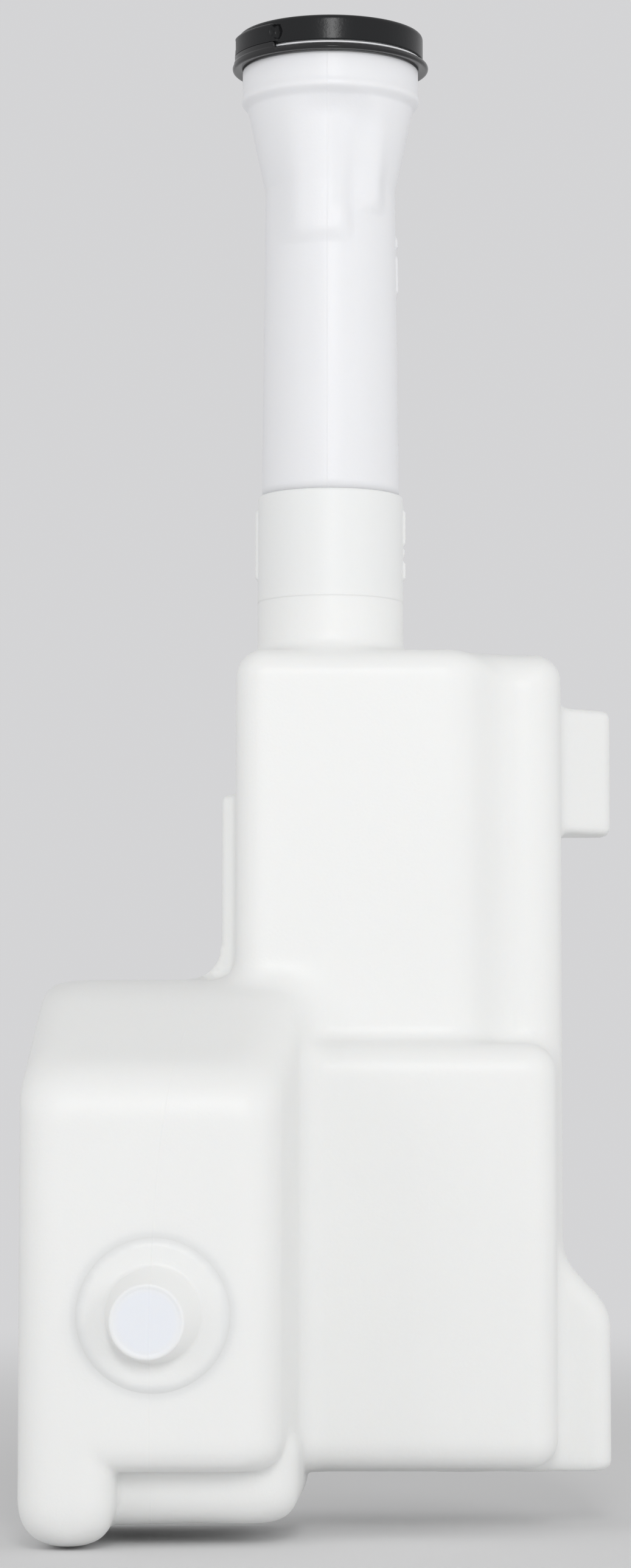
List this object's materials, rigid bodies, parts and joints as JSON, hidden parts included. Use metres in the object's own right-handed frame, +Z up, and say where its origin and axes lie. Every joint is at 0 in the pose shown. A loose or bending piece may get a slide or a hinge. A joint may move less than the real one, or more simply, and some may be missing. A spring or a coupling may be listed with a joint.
{
  "type": "washer fluid reservoir",
  "caption": "Blow-moulded washer fluid reservoir with a forward side tank, sump and tall push-in filler neck under a hinged flip cap",
  "frame": {"origin": "below the middle of the whole part, at the height of the sump's lowest point", "axes": "+X to the right across the body, +Y from the side tank's front to the body's back, +Z up along the filler neck"},
  "size_m": [0.2, 0.145, 0.5188],
  "materials": {
    "tank": "natural blown polyethylene, soft satin",
    "neck": "white blown polyethylene, soft satin",
    "ring": "moulded black, glossy",
    "lid": "moulded black, satin"
  },
  "bodies": {
    "reservoir": {"tank": "tank", "filler_neck": "neck", "cap_ring": "ring"},
    "lid": {"cap_lid": "lid"}
  },
  "joints": [
    {"name": "lid_hinge", "type": "hinge", "parent": "reservoir", "child": "lid", "pos_m": [-0.02777, 0.01849, 0.5102], "axis": [0.5446, -0.8387, 0], "range_deg": [0, 150]}
  ]
}
